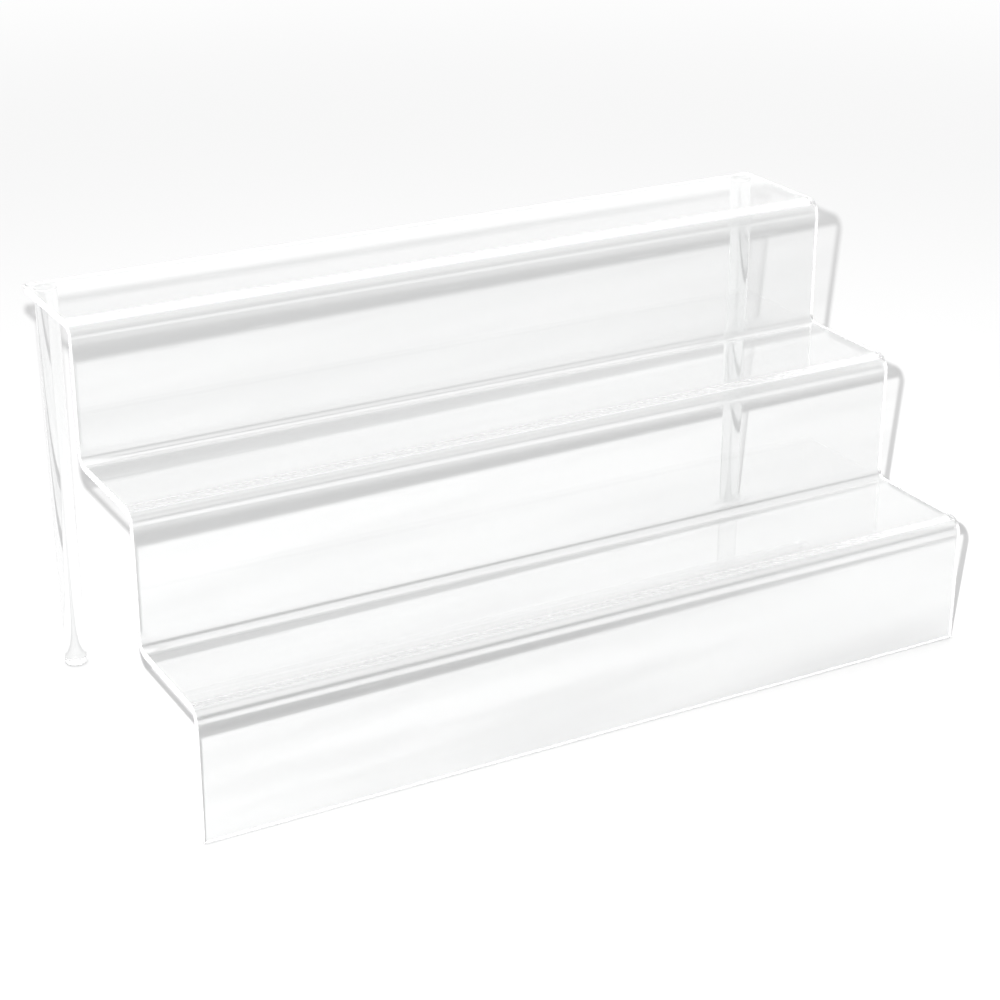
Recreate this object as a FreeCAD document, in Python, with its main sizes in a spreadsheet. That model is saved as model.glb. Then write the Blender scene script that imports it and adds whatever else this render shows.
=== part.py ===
"""Three-step display riser: one clear acrylic sheet bent into a stair, on two round rear legs.

Frame: millimetres, +Z up, +X along the length, -Y towards the front.
The origin is on the table, in the middle of the length and of the depth.
"""
import FreeCAD, Part
import Sketcher
import os

# ------------------------------------------------------------------ driving sizes

STEP_COUNT = 3                  # treads, and as many risers

DRIVING_SIZES = {
    "shelf_length": 305.0,      # end to end, along X
    "tread_pitch": 49.0,        # front face of one riser to the front face of the next
    "step_rise": 49.0,          # top of one tread to the top of the next
    "sheet_thickness": 3.0,     # cast sheet
    "inner_bend_radius": 3.0,   # inside of every heat bend
    "leg_diameter": 8.0,        # solid round rod
    "leg_end_margin": 2.5,      # end of the sheet to the side of a leg
    "leg_rear_margin": 0.5,     # rear edge of the top tread to the back of a leg
}

DERIVED_SIZES = {
    "overall_depth": "=%d * tread_pitch" % STEP_COUNT,
    "overall_height": "=%d * step_rise" % STEP_COUNT,
    "outer_bend_radius": "=inner_bend_radius + sheet_thickness",
    "leg_radius": "=leg_diameter / 2",
    "leg_height": "=overall_height - sheet_thickness",
    "leg_offset_x": "=shelf_length / 2 - leg_end_margin - leg_radius",
    "leg_offset_y": "=overall_depth / 2 - leg_rear_margin - leg_radius",
}

POSITION_TOLERANCE = 0.01       # mm, for finding an edge where it is known to be


# ------------------------------------------------------------------ document and sheet of sizes

def make_sizes(document):
    """Put the driving sizes and the sizes that follow from them on one spreadsheet."""
    sheet = document.addObject("Spreadsheet::Sheet", "Sizes")
    rows = list(DRIVING_SIZES.items()) + list(DERIVED_SIZES.items())
    for row, (name, value) in enumerate(rows, start=1):
        sheet.set("A%d" % row, name)
        sheet.set("B%d" % row, str(value))
        sheet.setAlias("B%d" % row, name)
    document.recompute()
    return sheet


def origin_plane(body, role):
    """Return one of the body's own origin planes, such as XY_Plane."""
    for feature in body.Origin.OriginFeatures:
        if feature.Role == role:
            return feature
    raise LookupError("no origin plane " + role)


def new_sketch(body, name, role):
    """Start a sketch on one of the body's own origin planes."""
    sketch = body.newObject("Sketcher::SketchObject", name)
    sketch.AttachmentSupport = [(origin_plane(body, role), "")]
    sketch.MapMode = "FlatFace"
    return sketch


# ------------------------------------------------------------------ stepped shelf

def stair_corners(sizes):
    """Return the sharp (y, z) corners of the sheet's upper side and of its under side.

    Both lists run from the rear edge of the top tread down to the foot of the front riser.
    """
    thickness = sizes.sheet_thickness
    rear = sizes.overall_depth / 2
    top = sizes.overall_height
    upper = []
    under = []
    for step in range(STEP_COUNT):
        tread_rear = rear - step * sizes.tread_pitch
        tread_front = tread_rear - sizes.tread_pitch
        tread_top = top - step * sizes.step_rise
        upper.append((tread_rear, tread_top))
        upper.append((tread_front, tread_top))
        under_rear = tread_rear if step == 0 else tread_rear + thickness
        under.append((under_rear, tread_top - thickness))
        under.append((tread_front + thickness, tread_top - thickness))
    upper.append((-rear, 0.0))
    under.append((-rear + thickness, 0.0))
    return upper, under


def bind(sketch, constraint, expression):
    """Add a constraint to the sketch and tie it to a cell of the spreadsheet."""
    index = sketch.addConstraint(constraint)
    sketch.setExpression("Constraints[%d]" % index, "Sizes." + expression)


def draw_stair(sketch, sizes):
    """Draw the sheet's cross-section with sharp corners and constrain it fully."""
    start = 1
    end = 2
    root_point = (-1, 1)
    horizontal_axis = -1
    upper, under = stair_corners(sizes)
    loop = upper + under[::-1]
    count = len(loop)
    for index in range(count):
        y0, z0 = loop[index]
        y1, z1 = loop[(index + 1) % count]
        first = FreeCAD.Vector(y0, z0, 0)
        last = FreeCAD.Vector(y1, z1, 0)
        sketch.addGeometry(Part.LineSegment(first, last), False)
    for index in range(count):
        following = (index + 1) % count
        direction = "Horizontal" if index % 2 == 0 else "Vertical"
        sketch.addConstraint(Sketcher.Constraint("Coincident", index, end, following, start))
        sketch.addConstraint(Sketcher.Constraint(direction, index))

    # lines 0, 2, 4 are the treads' upper faces, lines 1, 3, 5 the risers' front faces
    for step in range(STEP_COUNT):
        tread = 2 * step
        riser = tread + 1
        pitch = Sketcher.Constraint("DistanceX", tread, end, tread, start, sizes.tread_pitch)
        rise = Sketcher.Constraint("DistanceY", riser, end, riser, start, sizes.step_rise)
        bind(sketch, pitch, "tread_pitch")
        bind(sketch, rise, "step_rise")

    # each face of the under side lies one thickness behind or below its partner
    foot = len(upper) - 1
    for step in range(STEP_COUNT):
        tread = 2 * step
        riser = tread + 1
        under_tread = 2 * foot - tread
        under_riser = 2 * foot - riser
        across = Sketcher.Constraint(
            "DistanceX", riser, start, under_riser, start, sizes.sheet_thickness)
        down = Sketcher.Constraint(
            "DistanceY", under_tread, start, tread, end, sizes.sheet_thickness)
        bind(sketch, across, "sheet_thickness")
        bind(sketch, down, "sheet_thickness")

    # the front riser stands on the table, and the rear edge is half the depth from the middle
    sketch.addConstraint(Sketcher.Constraint("PointOnObject", foot - 1, end, horizontal_axis))
    rear_edge = Sketcher.Constraint("DistanceX", *root_point, 0, start, sizes.overall_depth / 2)
    bind(sketch, rear_edge, "overall_depth / 2")


def edges_along_length(shape, corners):
    """Name the edges parallel to X that pass through the given (y, z) corners."""
    names = []
    for index, edge in enumerate(shape.Edges, start=1):
        first = edge.Vertexes[0].Point
        last = edge.Vertexes[-1].Point
        if abs(first.x - last.x) < POSITION_TOLERANCE:
            continue
        for y, z in corners:
            if abs(first.y - y) < POSITION_TOLERANCE and abs(first.z - z) < POSITION_TOLERANCE:
                names.append("Edge%d" % index)
    if len(names) != len(corners):
        raise LookupError("found %d of %d bend edges" % (len(names), len(corners)))
    return names


def round_edges(body, name, base, corners, radius_name):
    """Round the edges through the given corners with a radius from the spreadsheet."""
    fillet = body.newObject("PartDesign::Fillet", name)
    fillet.Base = (base, edges_along_length(base.Shape, corners))
    fillet.setExpression("Radius", "Sizes." + radius_name)
    body.Document.recompute()
    return fillet


def make_stepped_shelf(document, sizes):
    """Make the one bent sheet: treads, risers and the front riser that reaches the table."""
    body = document.addObject("PartDesign::Body", "stepped_shelf")
    body.Label = "stepped_shelf"
    sketch = new_sketch(body, "stair_section", "YZ_Plane")
    draw_stair(sketch, sizes)
    document.recompute()

    pad = body.newObject("PartDesign::Pad", "sheet")
    pad.Profile = sketch
    pad.SideType = "Symmetric"
    pad.setExpression("Length", "Sizes.shelf_length")
    document.recompute()

    # the nosings curve round the under side, the rear corners of the treads round the upper side
    upper, under = stair_corners(sizes)
    bends = range(1, len(upper) - 1)
    outside = [(upper if bend % 2 else under)[bend] for bend in bends]
    inside = [(under if bend % 2 else upper)[bend] for bend in bends]
    inner = round_edges(body, "bend_insides", pad, inside, "inner_bend_radius")
    outer = round_edges(body, "bend_outsides", inner, outside, "outer_bend_radius")
    body.Tip = outer
    return body


# ------------------------------------------------------------------ rear legs

def make_leg(document, sizes, name, side):
    """Make one round leg from the table to the under side of the top tread.

    side is -1 for the left end and +1 for the right end.
    """
    body = document.addObject("PartDesign::Body", name)
    body.Label = name
    sketch = new_sketch(body, name + "_section", "XY_Plane")
    centre = FreeCAD.Vector(0, 0, 0)
    upward = FreeCAD.Vector(0, 0, 1)
    circle = sketch.addGeometry(Part.Circle(centre, upward, sizes.leg_radius), False)
    sketch.addConstraint(Sketcher.Constraint("Coincident", circle, 3, -1, 1))
    bind(sketch, Sketcher.Constraint("Radius", circle, sizes.leg_radius), "leg_radius")
    document.recompute()

    pad = body.newObject("PartDesign::Pad", name + "_rod")
    pad.Profile = sketch
    pad.setExpression("Length", "Sizes.leg_height")
    body.setExpression("Placement.Base.x", "%d * Sizes.leg_offset_x" % side)
    body.setExpression("Placement.Base.y", "Sizes.leg_offset_y")
    body.Tip = pad
    document.recompute()
    return body


# ------------------------------------------------------------------ checks and files

def check_document(document, parts):
    """Stop if a feature failed or a sub-part isn't one sound solid."""
    for item in document.Objects:
        if "Invalid" in item.State or "Error" in item.State:
            raise RuntimeError(item.Name + " did not recompute")
    for part in parts:
        shape = part.Shape
        if shape.isNull() or not shape.isValid() or len(shape.Solids) != 1:
            raise RuntimeError(part.Label + " is not one valid solid")


def export_parts(parts):
    """Write each sub-part to its own STEP file, named after its label."""
    os.makedirs("parts", exist_ok=True)
    for part in parts:
        part.Shape.exportStep("parts/%s.step" % part.Label)
        print(part.Label, "volume %.1f mm3" % part.Shape.Volume)


def main():
    """Build the riser and write its parts."""
    document = FreeCAD.newDocument("tiered_shelf_riser")
    sizes = make_sizes(document)
    parts = [
        make_stepped_shelf(document, sizes),
        make_leg(document, sizes, "rear_leg_left", -1),
        make_leg(document, sizes, "rear_leg_right", 1),
    ]
    document.recompute()
    check_document(document, parts)
    export_parts(parts)


main()
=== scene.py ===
"""Clear acrylic tiered riser: one sheet bent into a stair, standing on two round rear legs.

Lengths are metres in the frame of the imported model: +Z up, +X along the length, -Y to the front.
"""
import logging
import math
from dataclasses import dataclass, field
from enum import Enum

import bpy
import numpy as np
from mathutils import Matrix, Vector


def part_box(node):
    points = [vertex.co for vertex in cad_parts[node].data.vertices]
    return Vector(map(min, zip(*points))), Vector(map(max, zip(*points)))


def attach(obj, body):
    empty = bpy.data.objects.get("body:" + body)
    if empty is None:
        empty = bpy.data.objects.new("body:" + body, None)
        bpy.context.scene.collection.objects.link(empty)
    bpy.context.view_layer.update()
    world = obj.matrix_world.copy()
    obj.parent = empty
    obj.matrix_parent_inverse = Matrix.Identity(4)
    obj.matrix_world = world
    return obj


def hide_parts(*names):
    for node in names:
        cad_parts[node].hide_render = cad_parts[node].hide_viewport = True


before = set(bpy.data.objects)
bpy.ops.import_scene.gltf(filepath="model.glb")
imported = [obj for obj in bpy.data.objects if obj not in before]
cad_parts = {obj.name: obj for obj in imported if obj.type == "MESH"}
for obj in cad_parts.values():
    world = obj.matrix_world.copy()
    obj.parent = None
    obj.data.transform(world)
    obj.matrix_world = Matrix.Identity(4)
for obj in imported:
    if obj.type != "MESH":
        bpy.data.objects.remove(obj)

log = logging.getLogger("riser")
MM = 0.001
WHITE = (1.0, 1.0, 1.0, 1.0)
OFF_BEND = -1.0                     # the mark of a point that lies on no bend


# ------------------------------------------------------------------ small helpers


class Socket(Enum):
    """Kinds of socket that the shared shader groups have."""

    NUMBER = "NodeSocketFloat"
    VECTOR = "NodeSocketVector"


class Finish(Enum):
    """The order of a piece's material slots."""

    FACE = 0
    CUT = 1
    CEMENTED = 2


@dataclass(frozen=True)
class Pattern:
    """A noise: how fine it is, how it is stretched, and the span of its values that counts."""

    scale: object                                       # lumps per metre: a number or a group's socket
    detail: float = 1.0                                 # octaves
    share: float = 0.5                                  # strength of each finer octave
    stretch: tuple[float, float, float] | None = None   # below 1, longer along that axis
    span: tuple[float, float] = (0.0, 1.0)


@dataclass
class Tree:
    """A node tree with short ways to add and join nodes."""

    nodes: bpy.types.Nodes
    links: bpy.types.NodeLinks

    @classmethod
    def of(cls, owner: bpy.types.NodeTree) -> "Tree":
        """Wrap a node tree."""
        return cls(owner.nodes, owner.links)

    def add(self, kind: str, **settings: object) -> bpy.types.Node:
        """Add a node and set its properties.

        Args:
            kind: The node's Blender type name.
            settings: Properties of the node, by name.

        Returns:
            The new node.
        """
        node = self.nodes.new(kind)
        for name, value in settings.items():
            setattr(node, name, value)
        return node

    def feed(self, source: object, target: bpy.types.NodeSocket) -> None:
        """Link a socket to another, or set a plain value on it.

        Args:
            source: An output socket, or a number, colour or vector.
            target: The input socket.
        """
        if isinstance(source, bpy.types.NodeSocket):
            self.links.new(source, target)
        else:
            target.default_value = source

    def math(self, operation: str, *values: object, clamp: bool = False) -> bpy.types.NodeSocket:
        """Add a Math node.

        Args:
            operation: The node's operation, such as MULTIPLY.
            values: Sockets or numbers for its inputs, in order.
            clamp: True to keep the result between 0 and 1.

        Returns:
            The result's socket.
        """
        node = self.add("ShaderNodeMath", operation=operation, use_clamp=clamp)
        for index, value in enumerate(values):
            self.feed(value, node.inputs[index])
        return node.outputs[0]

    def ramp(self, value: object, low: float, high: float, start: float,
             end: float) -> bpy.types.NodeSocket:
        """Map a value smoothly from one span to another.

        Args:
            value: The socket to map.
            low: The value that gives start.
            high: The value that gives end.
            start: The result at low and below.
            end: The result at high and above.

        Returns:
            The result's socket.
        """
        node = self.add("ShaderNodeMapRange", interpolation_type="SMOOTHSTEP")
        for index, item in enumerate((value, low, high, start, end)):
            self.feed(item, node.inputs[index])
        return node.outputs[0]

    def noise(self, place: object, pattern: Pattern) -> bpy.types.NodeSocket:
        """Add a Noise Texture of a given pattern.

        Args:
            place: The socket of the coordinates.
            pattern: How fine the noise is and how it is stretched.

        Returns:
            The socket of the noise's value, near 0.5 on average.
        """
        if pattern.stretch is not None:
            mapping = self.add("ShaderNodeMapping")
            self.feed(place, mapping.inputs["Vector"])
            self.feed(pattern.stretch, mapping.inputs["Scale"])
            place = mapping.outputs[0]
        node = self.add("ShaderNodeTexNoise")
        self.feed(place, node.inputs["Vector"])
        self.feed(pattern.scale, node.inputs["Scale"])
        self.feed(pattern.detail, node.inputs["Detail"])
        self.feed(pattern.share, node.inputs["Roughness"])
        return node.outputs["Fac"]

    def mask(self, place: object, pattern: Pattern, start: float = 0.0,
             end: float = 1.0) -> bpy.types.NodeSocket:
        """Map the span of a pattern's values smoothly to another span.

        Args:
            place: The socket of the coordinates.
            pattern: The noise and its span.
            start: The result at the low end of the span and below.
            end: The result at the high end and above.

        Returns:
            The result's socket.
        """
        low, high = pattern.span
        return self.ramp(self.noise(place, pattern), low, high, start, end)

    def slanted(self, place: object, lengths: tuple[float, float, float],
                tilt: float) -> bpy.types.NodeSocket:
        """Turn coordinates about Y and Z, then shrink them, so that a pattern runs in long slanted streaks.

        Args:
            place: The socket of the coordinates.
            lengths: How many times longer the pattern gets along the turned axes.
            tilt: The turn about each axis, in radians.

        Returns:
            The socket of the new coordinates.
        """
        node = self.add("ShaderNodeMapping", vector_type="TEXTURE")
        self.feed(place, node.inputs["Vector"])
        self.feed((0.0, -tilt, tilt), node.inputs["Rotation"])
        self.feed(lengths, node.inputs["Scale"])
        return node.outputs[0]

    def attribute(self, name: str) -> bpy.types.NodeSocket:
        """Read a number that is stored on the mesh's points."""
        return self.add("ShaderNodeAttribute", attribute_name=name).outputs["Fac"]

    def group(self, shared: bpy.types.NodeTree, **values: object) -> bpy.types.Node:
        """Place a shared shader group and give it its inputs.

        Args:
            shared: The group.
            values: Its inputs by name, with _ for a space.

        Returns:
            The group's node.
        """
        node = self.add("ShaderNodeGroup", node_tree=shared)
        for name, value in values.items():
            self.feed(value, node.inputs[name.replace("_", " ").capitalize()])
        return node


def new_group(name: str, inputs: dict[str, Socket], outputs: dict[str, Socket]
              ) -> tuple[bpy.types.NodeTree, Tree, bpy.types.Node, bpy.types.Node]:
    """Start a shader group.

    Args:
        name: The group's name.
        inputs: Each input's kind, by name.
        outputs: Each output's kind, by name.

    Returns:
        The group, its tree, its input node and its output node.
    """
    shared = bpy.data.node_groups.new(name, "ShaderNodeTree")
    for label, kind in inputs.items():
        shared.interface.new_socket(label, in_out="INPUT", socket_type=kind.value)
    for label, kind in outputs.items():
        shared.interface.new_socket(label, in_out="OUTPUT", socket_type=kind.value)
    tree = Tree.of(shared)
    return shared, tree, tree.add("NodeGroupInput"), tree.add("NodeGroupOutput")


# ------------------------------------------------------------------ effects shared by the materials


@dataclass
class SharedEffects:
    """Shader groups that more than one material uses, each built once."""

    long_waves: Pattern = Pattern(55.0, stretch=(0.35, 1.0, 1.0))
    short_waves: Pattern = Pattern(420.0, stretch=(0.02, 1.0, 1.0))
    handling: bpy.types.NodeTree = field(init=False)
    ripple: bpy.types.NodeTree = field(init=False)

    def __post_init__(self) -> None:
        """Build the groups."""
        self.handling = self.build_handling()
        self.ripple = self.build_ripple()

    def build_handling(self) -> bpy.types.NodeTree:
        """Make the marks of handling: faint smears and hairline scratches.

        Returns:
            A group that puts out a haze mask and a scratch mask, both 0 to 1.
        """
        shared, tree, given, out = new_group(
            "handling_marks",
            {"Place": Socket.VECTOR, "Smear scale": Socket.NUMBER, "Scratch scale": Socket.NUMBER},
            {"Haze": Socket.NUMBER, "Scratch": Socket.NUMBER})
        place = given.outputs["Place"]
        smears = Pattern(given.outputs["Smear scale"], detail=4.0, span=(0.5, 0.75))
        scratches = Pattern(given.outputs["Scratch scale"], stretch=(0.03, 1.0, 1.0), span=(0.70, 0.78))
        tree.feed(tree.mask(place, smears), out.inputs["Haze"])
        tree.feed(tree.mask(place, scratches), out.inputs["Scratch"])
        return shared

    def build_ripple(self) -> bpy.types.NodeTree:
        """Make the gentle unevenness of cast acrylic, in metres of height.

        Returns:
            A group that puts out a height: long waves all over, and shorter ones where Near bend is 1.
        """
        shared, tree, given, out = new_group(
            "acrylic_ripple",
            {"Place": Socket.VECTOR, "Wave height": Socket.NUMBER, "Bend height": Socket.NUMBER,
             "Near bend": Socket.NUMBER},
            {"Height": Socket.NUMBER})
        place = given.outputs["Place"]
        waves = tree.math("MULTIPLY", tree.noise(place, self.long_waves), given.outputs["Wave height"])
        bends = tree.math("MULTIPLY", tree.noise(place, self.short_waves), given.outputs["Bend height"])
        bends = tree.math("MULTIPLY", bends, given.outputs["Near bend"])
        tree.feed(tree.math("ADD", waves, bends), out.inputs["Height"])
        return shared


# ------------------------------------------------------------------ finishes


@dataclass(frozen=True)
class ClearAcrylic:
    """Clear acrylic with polished cut edges, ripple, smears and hairline scratches."""

    name: str
    tint: tuple[float, ...] = (0.935, 0.94, 0.939, 1.0)
    refraction: float = 1.49
    polish: float = 0.004           # roughness of the clean surface
    haze: float = 0.03              # roughness that smears add
    scratch_haze: float = 0.06      # roughness that scratches add
    smear_scale: float = 18.0       # smears per metre
    scratch_scale: float = 900.0    # scratches per metre, across them
    cut_edge: float = 0.10          # roughness that the polished saw cut adds
    bend_haze: float = 0.15         # roughness that heating adds along a bend
    wave_height: float = 6e-6       # metres, as are the other heights and depths of relief
    bend_height: float = 7e-6
    saw_height: float = 5e-6
    scratch_depth: float = 2e-6
    clear: float = 1.0              # transmission; the rest scatters
    bubble_height: float = 0.0      # relief of the bubbles in a cemented face
    shade_of_bend: float = 0.85     # lamp light that each face of a bend or a cut edge throws aside
    shade_of_side: float = 0.0      # light that a round rod's sides throw aside
    streak_depth: float = 0.14      # how much the ripple thins the light between its streaks
    streak_tilt: float = math.radians(3.5)
    streak_lengths: tuple[float, float, float] = (14.0, 1.0, 1.0)
    streaks: Pattern = Pattern(60.0, detail=3.0, share=0.6, span=(0.32, 0.62))
    saw_grain: Pattern = Pattern(2400.0, detail=2.0, stretch=(1.0, 0.3, 0.3))
    saw_lines: Pattern = Pattern(700.0, stretch=(0.2, 1.0, 1.0))
    bubbles: Pattern = Pattern(900.0, span=(0.50, 0.62))

    def build(self, effects: SharedEffects) -> bpy.types.Material:
        """Make the material.

        Args:
            effects: The shared shader groups.

        Returns:
            The material.
        """
        material = bpy.data.materials.new(self.name)
        material.use_nodes = True
        tree = Tree.of(material.node_tree)
        tree.nodes.clear()
        place = tree.add("ShaderNodeTexCoord").outputs["Object"]
        bend = tree.attribute("bend")
        cut = tree.attribute("cut_edge")
        marks = tree.group(effects.handling, place=place, smear_scale=self.smear_scale,
                           scratch_scale=self.scratch_scale)
        ripple = tree.group(effects.ripple, place=place, wave_height=self.wave_height,
                            bend_height=self.bend_height, near_bend=bend)

        shader = tree.add("ShaderNodeBsdfPrincipled")
        shader.inputs["IOR"].default_value = self.refraction
        shader.inputs["Transmission Weight"].default_value = self.clear
        shader.inputs["Metallic"].default_value = 0.0
        tree.feed(self.tint, shader.inputs["Base Color"])
        tree.feed(self.roughness(tree, marks, cut, bend, place), shader.inputs["Roughness"])
        tree.feed(self.relief(tree, marks, ripple, cut, place), shader.inputs["Normal"])

        lamp_side = tree.add("ShaderNodeBsdfTransparent")
        tree.feed(self.shadow(tree, place, cut), lamp_side.inputs["Color"])
        path = tree.add("ShaderNodeLightPath")
        for_lamps = tree.math("MAXIMUM", path.outputs["Is Shadow Ray"], path.outputs["Is Diffuse Ray"])
        mix = tree.add("ShaderNodeMixShader")
        tree.feed(for_lamps, mix.inputs[0])
        tree.feed(shader.outputs[0], mix.inputs[1])
        tree.feed(lamp_side.outputs[0], mix.inputs[2])
        tree.feed(mix.outputs[0], tree.add("ShaderNodeOutputMaterial").inputs["Surface"])
        return material

    def roughness(self, tree: Tree, marks: bpy.types.Node, cut: bpy.types.NodeSocket,
                  bend: bpy.types.NodeSocket, place: bpy.types.NodeSocket) -> bpy.types.NodeSocket:
        """Add up the roughness of the clean face, the smears, the heated bends and the cut edges.

        Args:
            tree: The material's tree.
            marks: The handling marks.
            cut: 1 on cut edges.
            bend: 1 on the bends.
            place: Object coordinates.

        Returns:
            The roughness.
        """
        smears = tree.math("MULTIPLY", marks.outputs["Haze"], self.haze)
        hairs = tree.math("MULTIPLY", marks.outputs["Scratch"], self.scratch_haze)
        grain = tree.noise(place, self.saw_grain)
        edges = tree.math("MULTIPLY", tree.math("MULTIPLY", cut, grain), self.cut_edge)
        heated = tree.math("MULTIPLY", bend, self.bend_haze)
        total = tree.math("ADD", tree.math("ADD", smears, hairs), tree.math("ADD", edges, heated))
        return tree.math("ADD", total, self.polish, clamp=True)

    def relief(self, tree: Tree, marks: bpy.types.Node, ripple: bpy.types.Node,
               cut: bpy.types.NodeSocket, place: bpy.types.NodeSocket) -> bpy.types.NodeSocket:
        """Turn the ripple, the scratches, the saw lines and the bubbles into a normal.

        Args:
            tree: The material's tree.
            marks: The handling marks.
            ripple: The unevenness of the sheet.
            cut: 1 on cut edges.
            place: Object coordinates.

        Returns:
            The normal.
        """
        lines = tree.noise(place, self.saw_lines)
        saw = tree.math("MULTIPLY", tree.math("MULTIPLY", lines, cut), self.saw_height)
        hairs = tree.math("MULTIPLY", marks.outputs["Scratch"], -self.scratch_depth)
        bubbles = tree.mask(place, self.bubbles, 0.0, self.bubble_height)
        height = tree.math("ADD", tree.math("ADD", ripple.outputs["Height"], saw), hairs)
        height = tree.math("ADD", height, bubbles)
        bump = tree.add("ShaderNodeBump")
        bump.inputs["Strength"].default_value = 1.0
        bump.inputs["Distance"].default_value = 1.0
        tree.feed(height, bump.inputs["Height"])
        return bump.outputs["Normal"]

    def shadow(self, tree: Tree, place: bpy.types.NodeSocket,
               cut: bpy.types.NodeSocket) -> bpy.types.NodeSocket:
        """Work out how much lamp light each face lets through, as seen from what it lights.

        A pane that mirrors the share F at each face passes (1 - F) / (1 + F), counted on its shaded face.
        Each face of a bend or a cut edge throws part of the light aside, and so does the side of a rod.
        The ripple of the lit face gathers the light into faint streaks.

        Args:
            tree: The material's tree.
            place: Object coordinates.
            cut: 1 on cut edges.

        Returns:
            The share that goes through.
        """
        mirror = tree.add("ShaderNodeFresnel")
        mirror.inputs["IOR"].default_value = self.refraction
        passed = tree.math("DIVIDE", tree.math("SUBTRACT", 1.0, mirror.outputs[0]),
                           tree.math("ADD", 1.0, mirror.outputs[0]))
        thrown = tree.math("MAXIMUM", tree.attribute("spread"), cut)
        kept = tree.math("SUBTRACT", 1.0, tree.math("MULTIPLY", thrown, self.shade_of_bend))
        facing = tree.add("ShaderNodeLayerWeight").outputs["Facing"]
        sides = tree.math("SUBTRACT", 1.0, tree.math("MULTIPLY", facing, self.shade_of_side), clamp=True)
        along = tree.slanted(place, self.streak_lengths, self.streak_tilt)
        streaks = tree.mask(along, self.streaks, 1.0 - self.streak_depth, 1.0)
        lit = tree.math("MULTIPLY", sides, streaks)
        choice = tree.add("ShaderNodeMix", data_type="FLOAT")
        tree.feed(tree.add("ShaderNodeNewGeometry").outputs["Backfacing"], choice.inputs[0])
        tree.feed(passed, choice.inputs[2])
        tree.feed(lit, choice.inputs[3])
        return tree.math("MULTIPLY", choice.outputs[0], kept)


SHEET_FACE = ClearAcrylic("clear_sheet")
ROD_FACE = ClearAcrylic("clear_rod", wave_height=3e-6, shade_of_side=0.8)
CUT_FACE = ClearAcrylic("polished_cut", tint=WHITE, polish=0.10, cut_edge=0.15, clear=0.6)
CEMENTED_FACE = ClearAcrylic("cemented_face", tint=WHITE, polish=0.35, clear=0.25, bubble_height=40e-6)


@dataclass(frozen=True)
class PaperFloor:
    """A plain pale floor of matt paper with a very faint tooth, which glows evenly into white far out."""

    name: str = "pale_floor"
    brightness: float = 0.735
    tooth: float = 0.002            # how far the brightness strays
    grain: Pattern = Pattern(300.0, detail=3.0, span=(0.2, 0.8))
    roughness: float = 0.9
    full_reach: float = 0.45        # metres from the object's middle to where the fade starts
    fade_reach: float = 1.50        # and to where it ends

    def build(self) -> bpy.types.Material:
        """Make the material.

        Returns:
            The material.
        """
        material = bpy.data.materials.new(self.name)
        material.use_nodes = True
        tree = Tree.of(material.node_tree)
        shader = tree.nodes["Principled BSDF"]
        place = tree.add("ShaderNodeTexCoord").outputs["Object"]
        level = tree.mask(place, self.grain, self.brightness - self.tooth, self.brightness + self.tooth)
        apart = tree.add("ShaderNodeVectorMath", operation="LENGTH")
        tree.feed(place, apart.inputs[0])
        white = tree.ramp(apart.outputs["Value"], self.full_reach, self.fade_reach, 0.0, 1.0)
        paper = tree.math("MULTIPLY", level, tree.math("SUBTRACT", 1.0, white))
        for grey, target in ((paper, "Base Color"), (white, "Emission Color")):
            colour = tree.add("ShaderNodeCombineColor")
            for channel in range(3):
                tree.feed(grey, colour.inputs[channel])
            tree.feed(colour.outputs[0], shader.inputs[target])
        shader.inputs["Emission Strength"].default_value = 1.0
        shader.inputs["Roughness"].default_value = self.roughness
        shader.inputs["Specular IOR Level"].default_value = 0.0
        return material


# ------------------------------------------------------------------ surfaces


def put_mesh(name: str, points: np.ndarray, faces: list[np.ndarray], normals: np.ndarray,
             marks: dict[str, np.ndarray], finish: np.ndarray | None = None) -> bpy.types.Object:
    """Put points and faces into a new smooth mesh object.

    Args:
        name: The object's name.
        points: Points in metres, one row each.
        faces: Arrays of point numbers, one row a face; arrays may differ in how many points a face has.
        normals: The surface's own normal at each point.
        marks: Numbers to store on the points, by name.
        finish: The number of each face's material slot, or None for the first slot everywhere.

    Returns:
        The object, in the scene.
    """
    mesh = bpy.data.meshes.new(name)
    rows = [row for block in faces for row in block.tolist()]
    mesh.from_pydata(points.tolist(), [], rows)
    mesh.shade_smooth()
    mesh.normals_split_custom_set_from_vertices(normals.tolist())
    for label, values in marks.items():
        layer = mesh.attributes.new(label, "FLOAT", "POINT")
        layer.data.foreach_set("value", values.astype(np.float32))
    if finish is not None:
        mesh.polygons.foreach_set("material_index", finish.astype(np.int32))
    mesh.update()
    thing = bpy.data.objects.new(name, mesh)
    bpy.context.scene.collection.objects.link(thing)
    return thing


def cut_faces(cut: np.ndarray, faces: list[np.ndarray]) -> np.ndarray:
    """Give the faces whose points all lie on a cut edge the finish of a cut.

    Args:
        cut: 1 at the points of cut edges, 0 at others.
        faces: The arrays of faces.

    Returns:
        The number of each face's material slot, in the order of the faces.
    """
    on_edge = np.concatenate([cut[block].min(axis=1) == 1.0 for block in faces])
    return np.where(on_edge, Finish.CUT.value, Finish.FACE.value)


def ring_faces(rings: int, around: int) -> np.ndarray:
    """Join neighbouring rings of points with four-sided faces.

    Args:
        rings: How many rings there are.
        around: Points on each ring, which closes on itself.

    Returns:
        One row of four point numbers a face.
    """
    ring, spot = np.meshgrid(np.arange(rings - 1), np.arange(around), indexing="ij")
    following = (spot + 1) % around
    corners = (ring * around + spot, ring * around + following,
               (ring + 1) * around + following, (ring + 1) * around + spot)
    return np.stack([corner.ravel() for corner in corners], axis=1)


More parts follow.
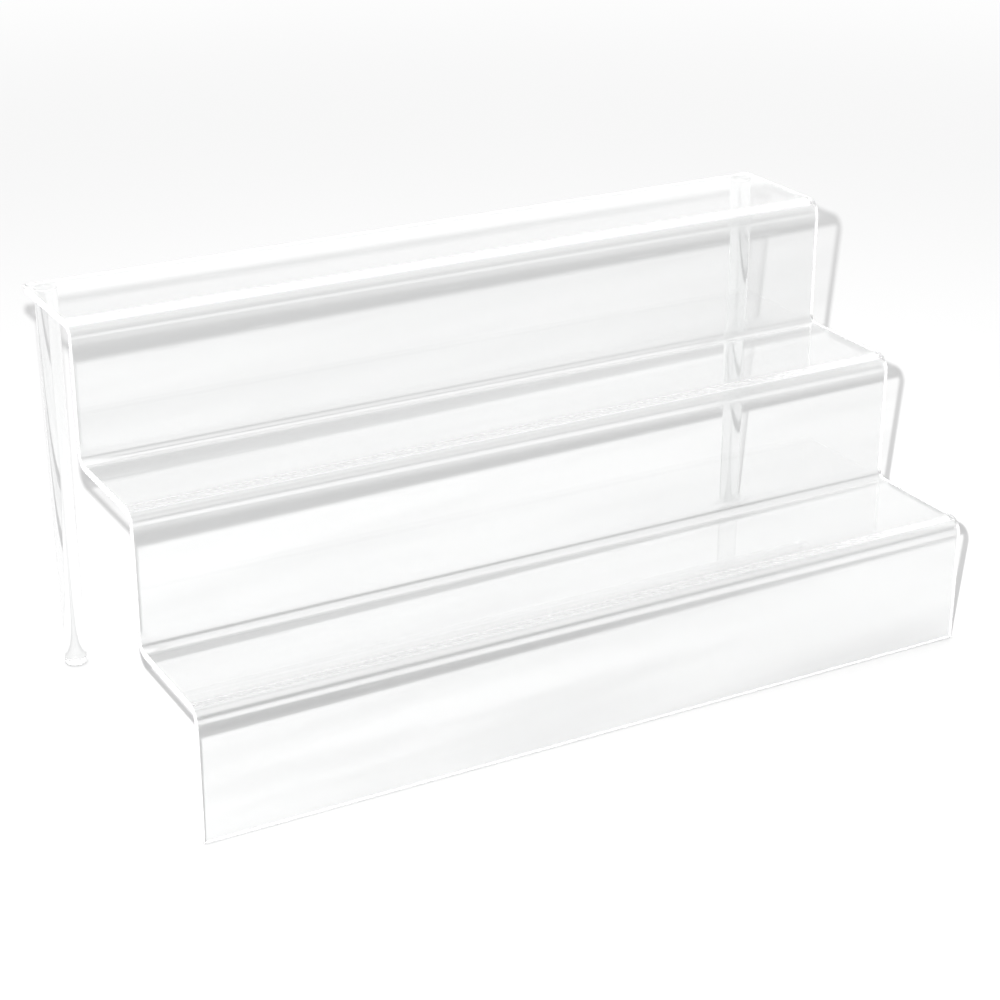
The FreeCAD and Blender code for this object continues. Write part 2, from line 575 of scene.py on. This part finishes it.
def rounded_rectangle(half_width: float, half_height: float, radius: float, across: int,
                      turn: int) -> tuple[np.ndarray, np.ndarray]:
    """Trace a rectangle with rounded corners, anticlockwise from its lower left.

    Each corner is centre + radius * (cos a, sin a) over a quarter turn of a, and the long sides have
    evenly spaced points between the corners.

    Args:
        half_width: Half of the long side.
        half_height: Half of the short side.
        radius: The corners' radius.
        across: Points on each long side between corners.
        turn: Points on each corner.

    Returns:
        The points and their outward normals, one row each.
    """
    inner = half_width - radius
    rise = half_height - radius
    angle = np.linspace(0.0, np.pi / 2, turn)
    points = []
    normals = []
    for quarter, (cx, cy) in enumerate(((inner, rise), (-inner, rise), (-inner, -rise), (inner, -rise))):
        sweep = angle + quarter * np.pi / 2
        outward = np.stack([np.cos(sweep), np.sin(sweep)], axis=1)
        points.append(np.array([cx, cy]) + radius * outward)
        normals.append(outward)
        if quarter % 2 == 0:
            side = np.linspace(cx, -cx, across + 2)[1:-1]
            level = math.copysign(half_height, cy)
            points.append(np.stack([side, np.full(across, level)], axis=1))
            normals.append(np.tile([0.0, math.copysign(1.0, cy)], (across, 1)))
    return np.concatenate(points), np.concatenate(normals)


@dataclass(frozen=True)
class StairPath:
    """The middle line of the sheet, from the rear edge of the top tread down to the foot.

    It is a chain of straight runs along -Y and -Z, joined by quarter circles.
    """

    depth: float
    height: float
    tread_pitch: float
    step_rise: float
    thickness: float
    inner_radius: float
    steps: int = 3
    run_points: int = 12
    bend_points: int = 41
    heat_reach: float = 2.5 * MM        # how far the heated strip fades out beside a bend
    spread_soft: float = 0.10           # share of a bend over which its shade comes and goes

    def corners(self) -> np.ndarray:
        """Work out the sharp corners of the middle line.

        Returns:
            The (y, z) corners in order, with the line's two ends.
        """
        half = self.thickness / 2
        step = np.arange(self.steps)
        tread_level = self.height - step * self.step_rise - half
        riser_place = self.depth / 2 - (step + 1) * self.tread_pitch + half
        nosings = np.stack([riser_place, tread_level], axis=1)
        hollows = np.stack([riser_place[:-1], tread_level[1:]], axis=1)
        bends = np.empty((2 * self.steps - 1, 2))
        bends[0::2] = nosings
        bends[1::2] = hollows
        start = [[self.depth / 2, tread_level[0]]]
        end = [[riser_place[-1], 0.0]]
        return np.concatenate([start, bends, end])

    def trace(self) -> tuple[np.ndarray, np.ndarray, np.ndarray]:
        """Sample the middle line.

        A bend at corner c between unit directions p and q, with middle radius r, is
        c - r p + r (sin a p + (1 - cos a) q) for a from 0 to a quarter turn.

        Returns:
            The (y, z) points, the unit directions of travel there, and two marks: how near a bend's heat
            was, and the share of its bend that a point has turned, or OFF_BEND.
        """
        corners = self.corners()
        radius = self.inner_radius + self.thickness / 2
        strides = np.diff(corners, axis=0)
        heading = strides / np.linalg.norm(strides, axis=1, keepdims=True)
        angle = np.linspace(0.0, np.pi / 2, self.bend_points)[:, None]
        points = []
        headings = []
        marks = []
        turned = np.linspace(0.0, 1.0, self.bend_points)
        begin = corners[0]
        for index in range(len(heading)):
            last = index == len(heading) - 1
            stop = corners[-1] if last else corners[index + 1] - radius * heading[index]
            share = np.linspace(0.0, 1.0, self.run_points)[:, None]
            run = begin + (stop - begin) * share
            keep = slice(0 if index == 0 else 1, None)
            points.append(run[keep])
            headings.append(np.tile(heading[index], (len(run[keep]), 1)))
            from_start = np.linalg.norm(run - begin, axis=1) if index > 0 else np.full(len(run), 1.0)
            from_end = np.full(len(run), 1.0) if last else np.linalg.norm(run - stop, axis=1)
            near = np.minimum(from_start, from_end)
            warmth = np.clip(1.0 - near / self.heat_reach, 0.0, 1.0)
            marks.append(np.stack([warmth, np.full(len(warmth), OFF_BEND)], axis=1)[keep])
            if not last:
                p, q = heading[index], heading[index + 1]
                bend = stop + radius * (np.sin(angle) * p + (1.0 - np.cos(angle)) * q)
                points.append(bend[1:])
                headings.append((np.cos(angle) * p + np.sin(angle) * q)[1:])
                marks.append(np.stack([np.ones(self.bend_points), turned], axis=1)[1:])
                begin = bend[-1]
        return np.concatenate(points), np.concatenate(headings), np.concatenate(marks)

    def spread(self, turned: np.ndarray, along: np.ndarray, passing_at_end: float) -> np.ndarray:
        """Work out how much each point of a bend throws lamp light aside.

        It is 1 over the whole bend at the near end of the sheet. The lamp meets the far end at a slant,
        and there the last part of the turn passes light again.

        Args:
            turned: The share of its bend that each ring has turned, or OFF_BEND.
            along: The share of the sheet's length that each point of a ring is at.
            passing_at_end: The share of a bend that passes light at the far end.

        Returns:
            Numbers from 0 to 1, one row a ring.
        """
        stop = 1.0 - passing_at_end * along[None, :]
        rising = turned[:, None] / self.spread_soft
        falling = (stop - turned[:, None]) / self.spread_soft
        return np.clip(np.minimum(rising, falling), 0.0, 1.0)


# ------------------------------------------------------------------ the object


@dataclass
class SteppedShelf:
    """The bent sheet: treads, risers and the front riser that reaches the table."""

    node: str = "stepped_shelf"
    tread_pitch: float = 49.0 * MM
    step_rise: float = 49.0 * MM
    thickness: float = 3.0 * MM
    inner_radius: float = 3.0 * MM
    edge_radius: float = 0.30 * MM      # eased by flame polishing
    end_shrink: float = 0.98            # share of the edge radius by which the last ring shrinks
    cut_from: float = 0.5               # sideways share of a normal, or radians of lean, of a cut edge
    along_points: int = 60
    edge_points: int = 6
    passing_at_end: float = 0.40        # share of a bend that passes lamp light at the far end

    def path(self) -> StairPath:
        """Return the sheet's middle line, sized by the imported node."""
        low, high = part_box(self.node)
        return StairPath(high.y - low.y, high.z - low.z, self.tread_pitch, self.step_rise,
                         self.thickness, self.inner_radius)

    def build(self) -> bpy.types.Object:
        """Carry a rounded rectangle, the sheet's long cross-section, along the stair path.

        At a path point m with direction t and sheet normal n, the surface point is m + x X + h n, where
        (x, h) runs round the rectangle. At each end the rectangle shrinks by e (1 - cos b) and moves on
        by e sin b, with edge radius e and b from 0 to a quarter turn, which eases the edge.

        Returns:
            The sheet.
        """
        low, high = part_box(self.node)
        ring, ring_normal = rounded_rectangle((high.x - low.x) / 2, self.thickness / 2, self.edge_radius,
                                              self.along_points, self.edge_points)
        middle, heading, bends = self.path().trace()
        middle, heading, bends, shrink, lean = self.ease_ends(middle, heading, bends)

        sheet_normal = np.stack([heading[:, 1], -heading[:, 0]], axis=1)
        inset = ring[None, :, :] - shrink[:, None, None] * ring_normal[None, :, :]
        x = inset[:, :, 0] + (high.x + low.x) / 2
        y = middle[:, 0, None] + inset[:, :, 1] * sheet_normal[:, 0, None]
        z = middle[:, 1, None] + inset[:, :, 1] * sheet_normal[:, 1, None]
        points = np.stack([x, y, z], axis=2).reshape(-1, 3)

        upright = np.cos(np.abs(lean))[:, None]
        forward = np.sin(lean)[:, None]
        nx = upright * ring_normal[None, :, 0]
        ny = upright * ring_normal[None, :, 1] * sheet_normal[:, 0, None] + forward * heading[:, 0, None]
        nz = upright * ring_normal[None, :, 1] * sheet_normal[:, 1, None] + forward * heading[:, 1, None]
        normals = np.stack([nx, ny, nz], axis=2).reshape(-1, 3)

        rings, around = inset.shape[:2]
        walls = ring_faces(rings, around)
        first_cap = np.arange(around)[None, ::-1]
        last_cap = (rings - 1) * around + np.arange(around)[None, :]
        on_side = np.abs(ring_normal[:, 0]) > self.cut_from
        cut = np.maximum(on_side[None, :], (np.abs(lean) > self.cut_from)[:, None]).astype(float)
        along = ring[:, 0] / (high.x - low.x) + 0.5
        spread = self.path().spread(bends[:, 1], along, self.passing_at_end)
        marks = {"bend": np.repeat(bends[:, 0], around), "spread": spread.ravel(), "cut_edge": cut.ravel()}
        faces = [walls, first_cap, last_cap]
        return put_mesh("clear_stepped_sheet", points, faces, normals, marks,
                        cut_faces(cut.ravel(), faces))

    def ease_ends(self, middle: np.ndarray, heading: np.ndarray,
                  bends: np.ndarray) -> tuple[np.ndarray, ...]:
        """Add the rings that round the rear edge and the foot.

        Args:
            middle: Points of the middle line.
            heading: Directions there.
            bends: The bend marks there.

        Returns:
            The same three with the extra rings, how much each ring shrinks, and how far its normal leans
            along the path, in radians.
        """
        lean = np.linspace(np.pi / 2, 0.0, self.edge_points)
        shrink = self.edge_radius * (1.0 - np.cos(lean)) * self.end_shrink
        back = self.edge_radius * (1.0 - np.sin(lean))
        start = middle[0] + back[:, None] * heading[0]
        end = (middle[-1] - back[:, None] * heading[-1])[::-1]
        inner = slice(1, -1)
        none = np.zeros(len(middle) - 2)
        cold = np.tile([0.0, OFF_BEND], (len(lean), 1))
        return (np.concatenate([start, middle[inner], end]),
                np.concatenate([np.tile(heading[0], (len(lean), 1)), heading[inner],
                                np.tile(heading[-1], (len(lean), 1))]),
                np.concatenate([cold, bends[inner], cold]),
                np.concatenate([shrink, none, shrink[::-1]]),
                np.concatenate([-lean, none, lean[::-1]]))


@dataclass
class RearLeg:
    """One solid round rod under a rear corner of the top tread."""

    node: str
    edge_radius: float = 0.35 * MM
    joint_gap: float = 0.05 * MM        # film of cement between the rod and the sheet
    cut_from: float = 0.3               # upright share of a normal, of a cut end
    around: int = 96
    wall_points: int = 40
    edge_points: int = 6

    def build(self) -> bpy.types.Object:
        """Turn the rod's profile about its axis.

        The profile (r, z) runs from the centre of the foot, round an eased edge, up the wall, round the
        upper edge and to the centre of the top. A surface point is axis + r (cos a, sin a) + z Z.

        Returns:
            The rod.
        """
        low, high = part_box(self.node)
        radius = (high.x - low.x) / 2
        top = high.z - self.joint_gap
        ease = self.edge_radius
        turn = np.linspace(0.0, np.pi / 2, self.edge_points)
        wall = np.linspace(low.z + ease, top - ease, self.wall_points)[1:-1]
        r = np.concatenate([radius - ease + ease * np.sin(turn), np.full(len(wall), radius),
                            radius - ease + ease * np.cos(turn)])
        z = np.concatenate([low.z + ease - ease * np.cos(turn), wall, top - ease + ease * np.sin(turn)])
        out = np.concatenate([np.sin(turn), np.ones(len(wall)), np.cos(turn)])
        up = np.concatenate([-np.cos(turn), np.zeros(len(wall)), np.sin(turn)])
        angle = np.arange(self.around) * 2 * np.pi / self.around
        middle_x = (low.x + high.x) / 2
        middle_y = (low.y + high.y) / 2
        points = np.stack([middle_x + r[:, None] * np.cos(angle), middle_y + r[:, None] * np.sin(angle),
                           np.repeat(z[:, None], self.around, axis=1)], axis=2).reshape(-1, 3)
        normals = np.stack([out[:, None] * np.cos(angle), out[:, None] * np.sin(angle),
                            np.repeat(up[:, None], self.around, axis=1)], axis=2).reshape(-1, 3)
        walls = ring_faces(len(r), self.around)
        foot_cap = np.arange(self.around)[None, ::-1]
        top_cap = (len(r) - 1) * self.around + np.arange(self.around)[None, :]
        cut = np.repeat((np.abs(up) > self.cut_from).astype(float), self.around)
        marks = {"bend": np.zeros(len(points)), "spread": np.zeros(len(points)), "cut_edge": cut}
        faces = [walls, foot_cap, top_cap]
        finish = cut_faces(cut, faces)
        finish[-1] = Finish.CEMENTED.value
        return put_mesh(self.node + "_rod", points, faces, normals, marks, finish)


# ------------------------------------------------------------------ studio


@dataclass
class Studio:
    """Pale floor, soft dome of light, one small lamp near the camera, and the camera."""

    azimuth: float = math.radians(-28.92)
    elevation: float = math.radians(23.39)
    distance: float = 0.849
    target: tuple[float, float, float] = (4.05 * MM, 13.5 * MM, 55.1 * MM)
    focal_length: float = 81.87         # mm
    sensor_width: float = 36.0          # mm
    nearest_seen: float = 0.01
    floor_half: float = 1.6             # half of its side
    floor_level: float = -0.2 * MM
    lamp_place: tuple[float, float, float] = (-0.352, -0.600, 0.389)
    lamp_size: float = 0.006            # across
    lamp_reach: float = 1.134           # the distance at which lamp_power counts
    lamp_power: float = 20.0            # watts
    surround: float = 1.0               # the white below the horizon, into which the floor fades
    softbox: float = 1.25               # the sky behind the object
    room: float = 0.45                  # the sky in front of it
    softbox_spread: float = 0.5         # how gently one passes into the other
    horizon_blur: float = 0.04          # how far up the sky sets in
    bounces: int = 96                   # enough for light to cross many panes
    clear_bounces: int = 24             # the same for the lamp's light

    def place_from(self, azimuth: float, elevation: float, distance: float) -> Vector:
        """Work out the point at a distance from the target.

        Args:
            azimuth: Radians about Z; 0 is in front.
            elevation: Radians above the level.
            distance: Metres.

        Returns:
            The point.
        """
        level = math.cos(elevation)
        back = Vector((math.sin(azimuth) * level, -math.cos(azimuth) * level, math.sin(elevation)))
        return Vector(self.target) + back * distance

    def aim(self, thing: bpy.types.Object) -> None:
        """Point an object's -Z at the target."""
        thing.rotation_euler = (Vector(self.target) - thing.location).to_track_quat("-Z", "Y").to_euler()

    def build_camera(self) -> None:
        """Add the camera and make it the scene's."""
        data = bpy.data.cameras.new("camera")
        data.lens = self.focal_length
        data.sensor_width = self.sensor_width
        data.clip_start = self.nearest_seen
        camera = bpy.data.objects.new("camera", data)
        camera.location = self.place_from(self.azimuth, self.elevation, self.distance)
        self.aim(camera)
        bpy.context.scene.collection.objects.link(camera)
        bpy.context.scene.camera = camera

    def build_floor(self) -> None:
        """Add the floor, just under the object so that the two faces don't coincide."""
        signs = np.array([[-1.0, -1.0], [1.0, -1.0], [1.0, 1.0], [-1.0, 1.0]])
        count = len(signs)
        points = np.column_stack([signs * self.floor_half, np.full(count, self.floor_level)])
        normals = np.tile([0.0, 0.0, 1.0], (count, 1))
        floor = put_mesh("floor", points, [np.arange(count)[None, :]], normals, {})
        floor.data.materials.append(PaperFloor().build())

    def build_lamp(self) -> None:
        """Add the small lamp near the camera; its light doesn't fall off, so near and far floor match."""
        data = bpy.data.lights.new("lamp", "AREA")
        data.shape = "DISK"
        data.size = self.lamp_size
        data.energy = self.lamp_power
        data.use_nodes = True
        tree = Tree.of(data.node_tree)
        even = tree.add("ShaderNodeLightFalloff")
        even.inputs["Strength"].default_value = 1.0 / self.lamp_reach ** 2
        tree.feed(even.outputs["Constant"], tree.nodes["Emission"].inputs["Strength"])
        lamp = bpy.data.objects.new("lamp", data)
        lamp.location = Vector(self.lamp_place)
        self.aim(lamp)
        bpy.context.scene.collection.objects.link(lamp)

    def build_sky(self) -> None:
        """Light everything from a white dome: a wide softbox behind and a dimmer room in front."""
        world = bpy.data.worlds.new("dome")
        world.use_nodes = True
        bpy.context.scene.world = world
        tree = Tree.of(world.node_tree)
        split = tree.add("ShaderNodeSeparateXYZ")
        tree.feed(tree.add("ShaderNodeTexCoord").outputs["Generated"], split.inputs[0])
        spread = self.softbox_spread
        sky = tree.ramp(split.outputs["Y"], -spread, spread, self.room, self.softbox)
        above = tree.ramp(split.outputs["Z"], 0.0, self.horizon_blur, 0.0, 1.0)
        level = tree.add("ShaderNodeMix", data_type="FLOAT")
        for index, value in ((0, above), (2, self.surround), (3, sky)):
            tree.feed(value, level.inputs[index])
        background = tree.nodes["Background"]
        background.inputs["Color"].default_value = WHITE
        tree.feed(level.outputs[0], background.inputs["Strength"])

    def set_up(self) -> None:
        """Choose plain colour handling and enough bounces, and build the stage."""
        scene = bpy.context.scene
        scene.view_settings.view_transform = "Standard"
        scene.cycles.max_bounces = self.bounces
        scene.cycles.transmission_bounces = self.bounces
        scene.cycles.glossy_bounces = self.bounces
        scene.cycles.transparent_max_bounces = self.clear_bounces
        self.build_camera()
        self.build_floor()
        self.build_lamp()
        self.build_sky()


# ------------------------------------------------------------------ putting it together


def dress(thing: bpy.types.Object, finishes: list[bpy.types.Material], node: str) -> None:
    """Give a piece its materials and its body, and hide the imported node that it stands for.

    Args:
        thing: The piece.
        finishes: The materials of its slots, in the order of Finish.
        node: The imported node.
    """
    for finish in finishes:
        thing.data.materials.append(finish)
    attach(thing, "root")
    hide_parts(node)


def main() -> None:
    """Build every piece in order, log how many faces each has, and set up the studio."""
    logging.basicConfig(level=logging.INFO, format="%(message)s")
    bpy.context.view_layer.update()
    effects = SharedEffects()
    sheet_face = SHEET_FACE.build(effects)
    rod_face = ROD_FACE.build(effects)
    cut_face = CUT_FACE.build(effects)
    cemented = CEMENTED_FACE.build(effects)
    shelf = SteppedShelf().build()
    dress(shelf, [sheet_face, cut_face], "stepped_shelf")
    log.info("stepped shelf: %d faces", len(shelf.data.polygons))
    for node in ("rear_leg_left", "rear_leg_right"):
        leg = RearLeg(node).build()
        dress(leg, [rod_face, cut_face, cemented], node)
        log.info("%s: %d faces", node, len(leg.data.polygons))
    Studio().set_up()


if __name__ == "__main__":
    main()
